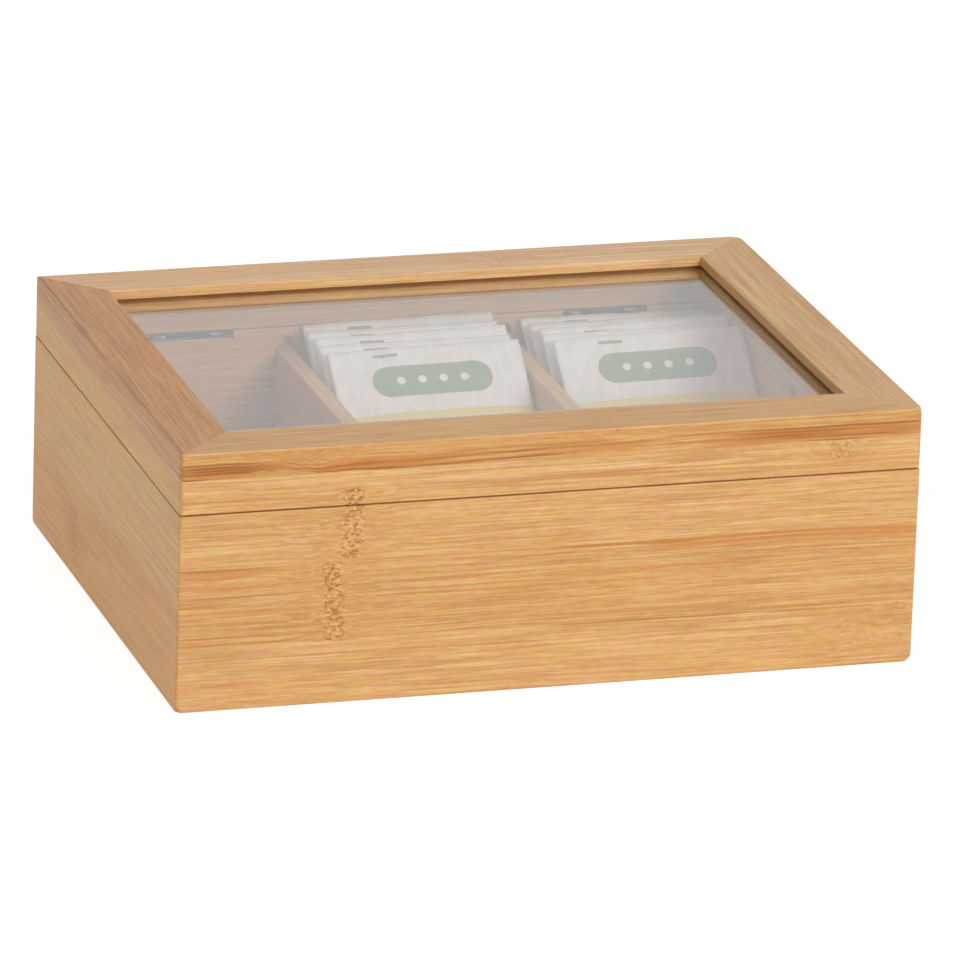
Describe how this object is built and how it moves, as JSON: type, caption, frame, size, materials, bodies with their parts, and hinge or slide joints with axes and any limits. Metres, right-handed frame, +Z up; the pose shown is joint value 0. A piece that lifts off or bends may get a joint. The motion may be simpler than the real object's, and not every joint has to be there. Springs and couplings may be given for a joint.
{
  "type": "tea bag organizer box",
  "caption": "Low rectangular bamboo box with a hinged window lid, divided into compartments for upright tea sachets, with sachets in some of them.",
  "frame": {"origin": "on the surface that the box stands on, in the middle of the four walls", "axes": "+X to the right along the long front, +Y to the back with the hinges, +Z up"},
  "size_m": [0.215, 0.1704, 0.0755],
  "materials": {
    "bamboo_front": "satin lacquer over bamboo with the grain along the board",
    "bamboo_side": "satin lacquer over bamboo with the grain along the board",
    "bamboo_inside": "sanded bamboo, lightly lacquered",
    "clear_pane": "clear, smooth",
    "hinge_steel": "plated, slightly worn",
    "screw_steel": "plated, bright",
    "sachet_paper": "matt coated paper with a sealed and crimped edge, printed in sage green and pale yellow"
  },
  "bodies": {
    "box": {"front_panel": "bamboo_front", "back_panel": "bamboo_front", "left_panel": "bamboo_side", "right_panel": "bamboo_side", "floor_panel": "bamboo_inside", "divider_left": "bamboo_inside", "divider_right": "bamboo_inside", "divider_cross": "bamboo_inside", "hinge_left_box_leaf": "hinge_steel", "hinge_right_box_leaf": "hinge_steel", "hinge_left_pin": "hinge_steel", "hinge_right_pin": "hinge_steel", "box_leaf_screws": "screw_steel", "sachet_centre_1": "sachet_paper", "sachet_centre_2": "sachet_paper", "sachet_centre_3": "sachet_paper", "sachet_centre_4": "sachet_paper", "sachet_centre_5": "sachet_paper", "sachet_right_1": "sachet_paper", "sachet_right_2": "sachet_paper", "sachet_right_3": "sachet_paper", "sachet_right_4": "sachet_paper", "sachet_right_5": "sachet_paper"},
    "lid": {"lid_rail_front": "bamboo_front", "lid_rail_back": "bamboo_front", "lid_rail_left": "bamboo_side", "lid_rail_right": "bamboo_side", "lid_rim_front": "bamboo_front", "lid_rim_back": "bamboo_front", "lid_rim_left": "bamboo_side", "lid_rim_right": "bamboo_side", "window_pane": "clear_pane", "hinge_left_lid_leaf": "hinge_steel", "hinge_right_lid_leaf": "hinge_steel", "lid_leaf_screws": "screw_steel"}
  },
  "joints": [
    {"name": "lid_hinge", "type": "hinge", "parent": "box", "child": "lid", "pos_m": [0, 0.0846, 0.05645], "axis": [-1, 0, 0], "range_deg": [0, 100]}
  ]
}
